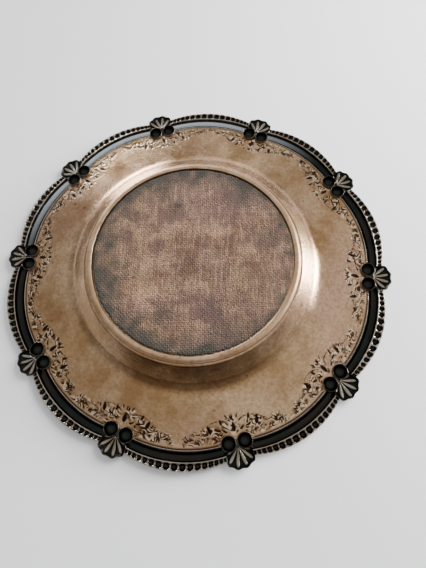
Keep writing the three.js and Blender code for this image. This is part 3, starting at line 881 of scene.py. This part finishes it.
def fan_part(rng):
    """Fan seen from its hollow side: light pointed ridges run out from the root, inside a dark rim."""
    rows, columns = 30, RIDGES * 16 + 1
    angle = np.linspace(-FAN_HALF_ANGLE, FAN_HALF_ANGLE, columns)[None, :]
    share = np.linspace(0, 1, rows)[:, None]
    turn = (angle / FAN_HALF_ANGLE + 1) / 2 * RIDGES
    from_ridge = np.abs(turn - np.floor(turn) - 0.5) * 2
    lengths = 0.86 + 0.03 * rng.uniform(-1, 1, RIDGES + 1)
    tip = lengths[np.minimum(np.floor(turn).astype(int), RIDGES)]
    inside = np.clip(share / tip, 0, 1)
    width = 0.98 * np.sin(math.pi * np.clip(inside, 0.001, 0.999) ** 0.8) ** 0.4 + 0.001
    ridge = np.where(share < tip, 1 - smooth(from_ridge / width, 0.5, 1.0), 0)
    scallop = 0.028 * (1 + np.cos(2 * math.pi * turn))
    reach = shell_reach(angle) * (1 - scallop)
    out = FAN_ROOT_R + (reach - FAN_ROOT_R) * share
    bowl = np.sin(math.pi * share**1.35) ** 0.75
    z = RIM_Z - 0.12 - SHELL_DEPTH * bowl * (1 - 0.6 * ridge) - 0.3 * smooth(share, 0.96, 1.0)
    x, y = FAN_ROOT_X + out * np.cos(angle), out * np.sin(angle)
    rim = smooth(share, 0.94, 0.98)
    dirt = 1 - 0.53 * ridge * (1 - 0.35 * smooth(np.abs(angle), 0.8, FAN_HALF_ANGLE)) - 0.2 * rim
    dirt = dirt - 0.3 * (1 - smooth(share, 0.02, 0.14))
    upper = np.stack([x, y, under_cups(x, y, z)], -1)
    lower = np.stack([x, y, under_cups(x, y, np.maximum(z - STRUCK, 0.1))], -1)
    loops = np.concatenate([upper, lower[::-1]]).transpose(1, 0, 2)
    count = 2 * rows
    ends = np.stack([np.arange(count), ((columns - 1) * count + np.arange(count))[::-1]])
    tarnish = np.concatenate([dirt, np.full_like(dirt, 0.3)]).T.ravel()
    return loops.reshape(-1, 3), [grid_faces(columns, count), ends], tarnish


CUP_STATIONS = 48


def cup_part(side, rng):
    """Round cup with a thin rolled rim, black inside."""
    bearing = np.arange(CUP_STATIONS) * 2 * math.pi / CUP_STATIONS
    inner_r, top = CUP_R - CUP_WALL, CUP_TOP_Z
    profile = []
    for a in np.linspace(0.06, math.pi / 2, 12):
        profile.append((inner_r * math.sin(a), top - (top - STRUCK) * math.cos(a) ** 0.8, 1.0))
    for a in np.linspace(0, math.pi, 7)[1:-1]:
        r = inner_r + CUP_WALL * (0.5 - 0.5 * math.cos(a))
        profile.append((r, top + 0.2 * math.sin(a), 1.2 - 0.24 * a))
    for a in np.linspace(math.pi / 2, 0.06, 10):
        profile.append((CUP_R * math.sin(a), top - (top - CUP_FOOT_Z) * math.cos(a), 0.35))
    profile = np.array(profile)
    r = profile[:, 0][:, None] * (1 + 0.012 * np.cos(3 * bearing + rng.uniform(0, 6)))
    x, y = CUP_X + r * np.cos(bearing), side * CUP_Y + r * np.sin(bearing)
    points = np.stack([x, y, profile[:, 1][:, None] * np.ones_like(x)], -1).reshape(-1, 3)
    rows = len(profile)
    ends = np.stack([np.arange(CUP_STATIONS), ((rows - 1) * CUP_STATIONS + np.arange(CUP_STATIONS))[::-1]])
    return points, [grid_faces(rows, CUP_STATIONS), ends], np.repeat(profile[:, 2], CUP_STATIONS)


def neck_part():
    """The plain bridge between the two cups and the fan's root."""
    rows, columns = 9, 9
    t, s = np.meshgrid(np.linspace(0, 1, rows), np.linspace(-1, 1, columns), indexing="ij")
    x = CUP_X - 1.4 + 5.6 * t
    y = (0.7 + 1.3 * smooth(t, 0.35, 1.0)) * s
    z = RIM_Z - 0.5 - 0.5 * s**2 - 0.7 * smooth(t, 0.4, 1.0)
    upper = np.stack([x, y, z], -1).reshape(-1, 3)
    lower = upper * (1, 1, 0) + (0, 0, RIM_Z - 3.0)
    count = rows * columns
    top = grid_faces(rows, columns, close_columns=False)
    border = grid_border(rows, columns)
    ahead = np.roll(border, -1)
    side = np.column_stack([ahead, border, border + count, ahead + count])
    tarnish = np.concatenate([(0.75 + 0.25 * np.abs(s)).ravel(), np.full(count, 0.5)])
    return np.concatenate([upper, lower]), [top, (top + count)[:, ::-1], side], tarnish


def make_mount(index, material):
    """Shell mount: a fan, two cups and the neck between them, as one piece."""
    rng = np.random.default_rng(300 + index)
    points, blocks, dirt, soot, first = [], [], [], [], 0
    parts = ((fan_part(rng), 0.5), (cup_part(-1, rng), 1.0), (cup_part(1, rng), 1.0), (neck_part(), 1.0))
    for (part_points, part_blocks, part_dirt), blackness in parts:
        points.append(part_points)
        soot.append(np.full(len(part_points), blackness))
        blocks += [block + first for block in part_blocks]
        dirt.append(part_dirt)
        first += len(part_points)
    a = index * LOBE
    turn = np.array([[math.cos(a), math.sin(a), 0], [-math.sin(a), math.cos(a), 0], [0, 0, 1]])
    add_piece(f"shell_{index + 1:02d}", np.concatenate(points) @ turn, blocks, material, "border_silver",
              f"shell_mount_{index + 1:02d}", dirt=np.concatenate(dirt), clean=np.zeros(first),
              soot=np.concatenate(soot))


# ---------------------------------------------------------------- floor, light and camera

# Patches of light: direction, half angles in degrees of the core and of the fade, and strength
RIGHT_WINDOW = ((0.92, 0.36, 0.09), 4, 12, 115.0)
FAR_WINDOW = ((-0.50, 0.83, 0.12), 4, 12, 42.0)
FAR_WALL = ((0.05, 1.0, 0.18), 4, 17, 1.7)
ROOM_SIDE = ((0.55, 0.35, 0.75), 0, 80, 0.30)
NEAR_SIDE = ((-0.02, -1.0, 0.18), 12, 64, 0.62)  # this one takes light away
HORIZON, ZENITH = 0.30, 0.72  # strength of the light all round, low down and overhead
BACKDROP = 1.1  # strength of the plain pale backdrop behind the floor
FLOOR_SIZE = 12.0


def make_floor(material):
    """Floor that the salver lies on."""
    bpy.ops.mesh.primitive_plane_add(size=FLOOR_SIZE, location=(0, 0, 0))
    floor = bpy.context.object
    floor.name = "floor"
    floor.data.materials.append(material)


def glow(tree, way, patch):
    """Soft round patch of light in one direction of the room."""
    direction, core, fade, strength = patch
    aim = tuple(Vector(direction).normalized())
    facing = node(tree, "ShaderNodeVectorMath", {0: way, 1: aim}, operation="DOT_PRODUCT")
    low, high = math.cos(math.radians(fade)), math.cos(math.radians(core))
    return ranged(tree, facing.outputs["Value"], low, high, 0.0, strength, "SMOOTHSTEP")


def make_world():
    """Room light: windows low at the right and far left, pale above, dark and brown on the near side."""
    world = bpy.data.worlds.new("studio")
    bpy.context.scene.world = world
    world.use_nodes = True
    tree = world.node_tree
    tree.nodes.clear()
    output = tree.nodes.new("ShaderNodeOutputWorld")
    back = tree.nodes.new("ShaderNodeBackground")
    tree.links.new(back.outputs[0], output.inputs["Surface"])
    way = node(tree, "ShaderNodeTexCoord").outputs["Generated"]
    height = node(tree, "ShaderNodeSeparateXYZ", {0: way}).outputs["Z"]
    near = glow(tree, way, NEAR_SIDE)
    overhead = ranged(tree, height, 0.0, 1.0, HORIZON, ZENITH, "SMOOTHSTEP")
    total = maths(tree, "ADD", overhead, glow(tree, way, ROOM_SIDE))
    total = maths(tree, "MULTIPLY", total, maths(tree, "SUBTRACT", 1.0, near))
    for patch in (RIGHT_WINDOW, FAR_WINDOW, FAR_WALL):
        total = maths(tree, "ADD", total, glow(tree, way, patch))
    seen = node(tree, "ShaderNodeLightPath").outputs["Is Camera Ray"]
    lit = maths(tree, "MULTIPLY", total, maths(tree, "SUBTRACT", 1.0, seen))
    total = maths(tree, "ADD", lit, maths(tree, "MULTIPLY", seen, BACKDROP))
    colour = mixed(tree, near, (0.96, 0.98, 1.0), (1.0, 0.66, 0.5))
    tree.links.new(total, back.inputs["Strength"])
    tree.links.new(mixed(tree, seen, colour, (0.97, 0.98, 1.0)), back.inputs["Color"])


def make_light(name, location, target, size, power, colour):
    """Soft rectangular lamp that doesn't show in the silver."""
    data = bpy.data.lights.new(name, "AREA")
    data.shape = "RECTANGLE"
    data.size, data.size_y = size
    data.energy = power
    data.color = colour
    light = bpy.data.objects.new(name, data)
    light.location = location
    light.rotation_euler = (Vector(target) - Vector(location)).to_track_quat("-Z", "Y").to_euler()
    light.visible_glossy = False
    bpy.context.scene.collection.objects.link(light)


def make_camera():
    """Camera at the viewing angle: tilted off the vertical, rolled, and turned round the salver."""
    ct, st = math.cos(CAMERA_TILT), math.sin(CAMERA_TILT)
    cr, sr = math.cos(CAMERA_ROLL), math.sin(CAMERA_ROLL)
    right = Vector((cr, sr * ct, sr * st))
    up = Vector((-sr, cr * ct, cr * st))
    back = Vector((0, -st, ct))
    turn = Matrix.Rotation(-CAMERA_TURN, 3, "Z")
    axes = Matrix([turn @ right, turn @ up, turn @ back]).transposed().to_4x4()
    data = bpy.data.cameras.new("camera")
    data.lens = CAMERA_LENS
    data.sensor_width = 36.0
    camera = bpy.data.objects.new("camera", data)
    bpy.context.scene.collection.objects.link(camera)
    camera.matrix_world = Matrix.Translation(Vector(CAMERA_AT) * MM) @ axes
    bpy.context.scene.camera = camera


make_camera()
make_floor(floor_white())
make_world()
make_light("key", (0.42, 0.30, 0.38), (0, 0, 0), (0.4, 0.4), 8.5, (1.0, 0.99, 0.98))
make_tray(tray_silver())
make_ring(ring_silver())
make_pad(pad_cloth())
strip_silver = border_silver("border_silver", 0.20)
mount_silver = border_silver("mount_silver", 0.30)
for number in range(LOBES):
    make_strip(number, strip_silver)
    make_mount(number, mount_silver)
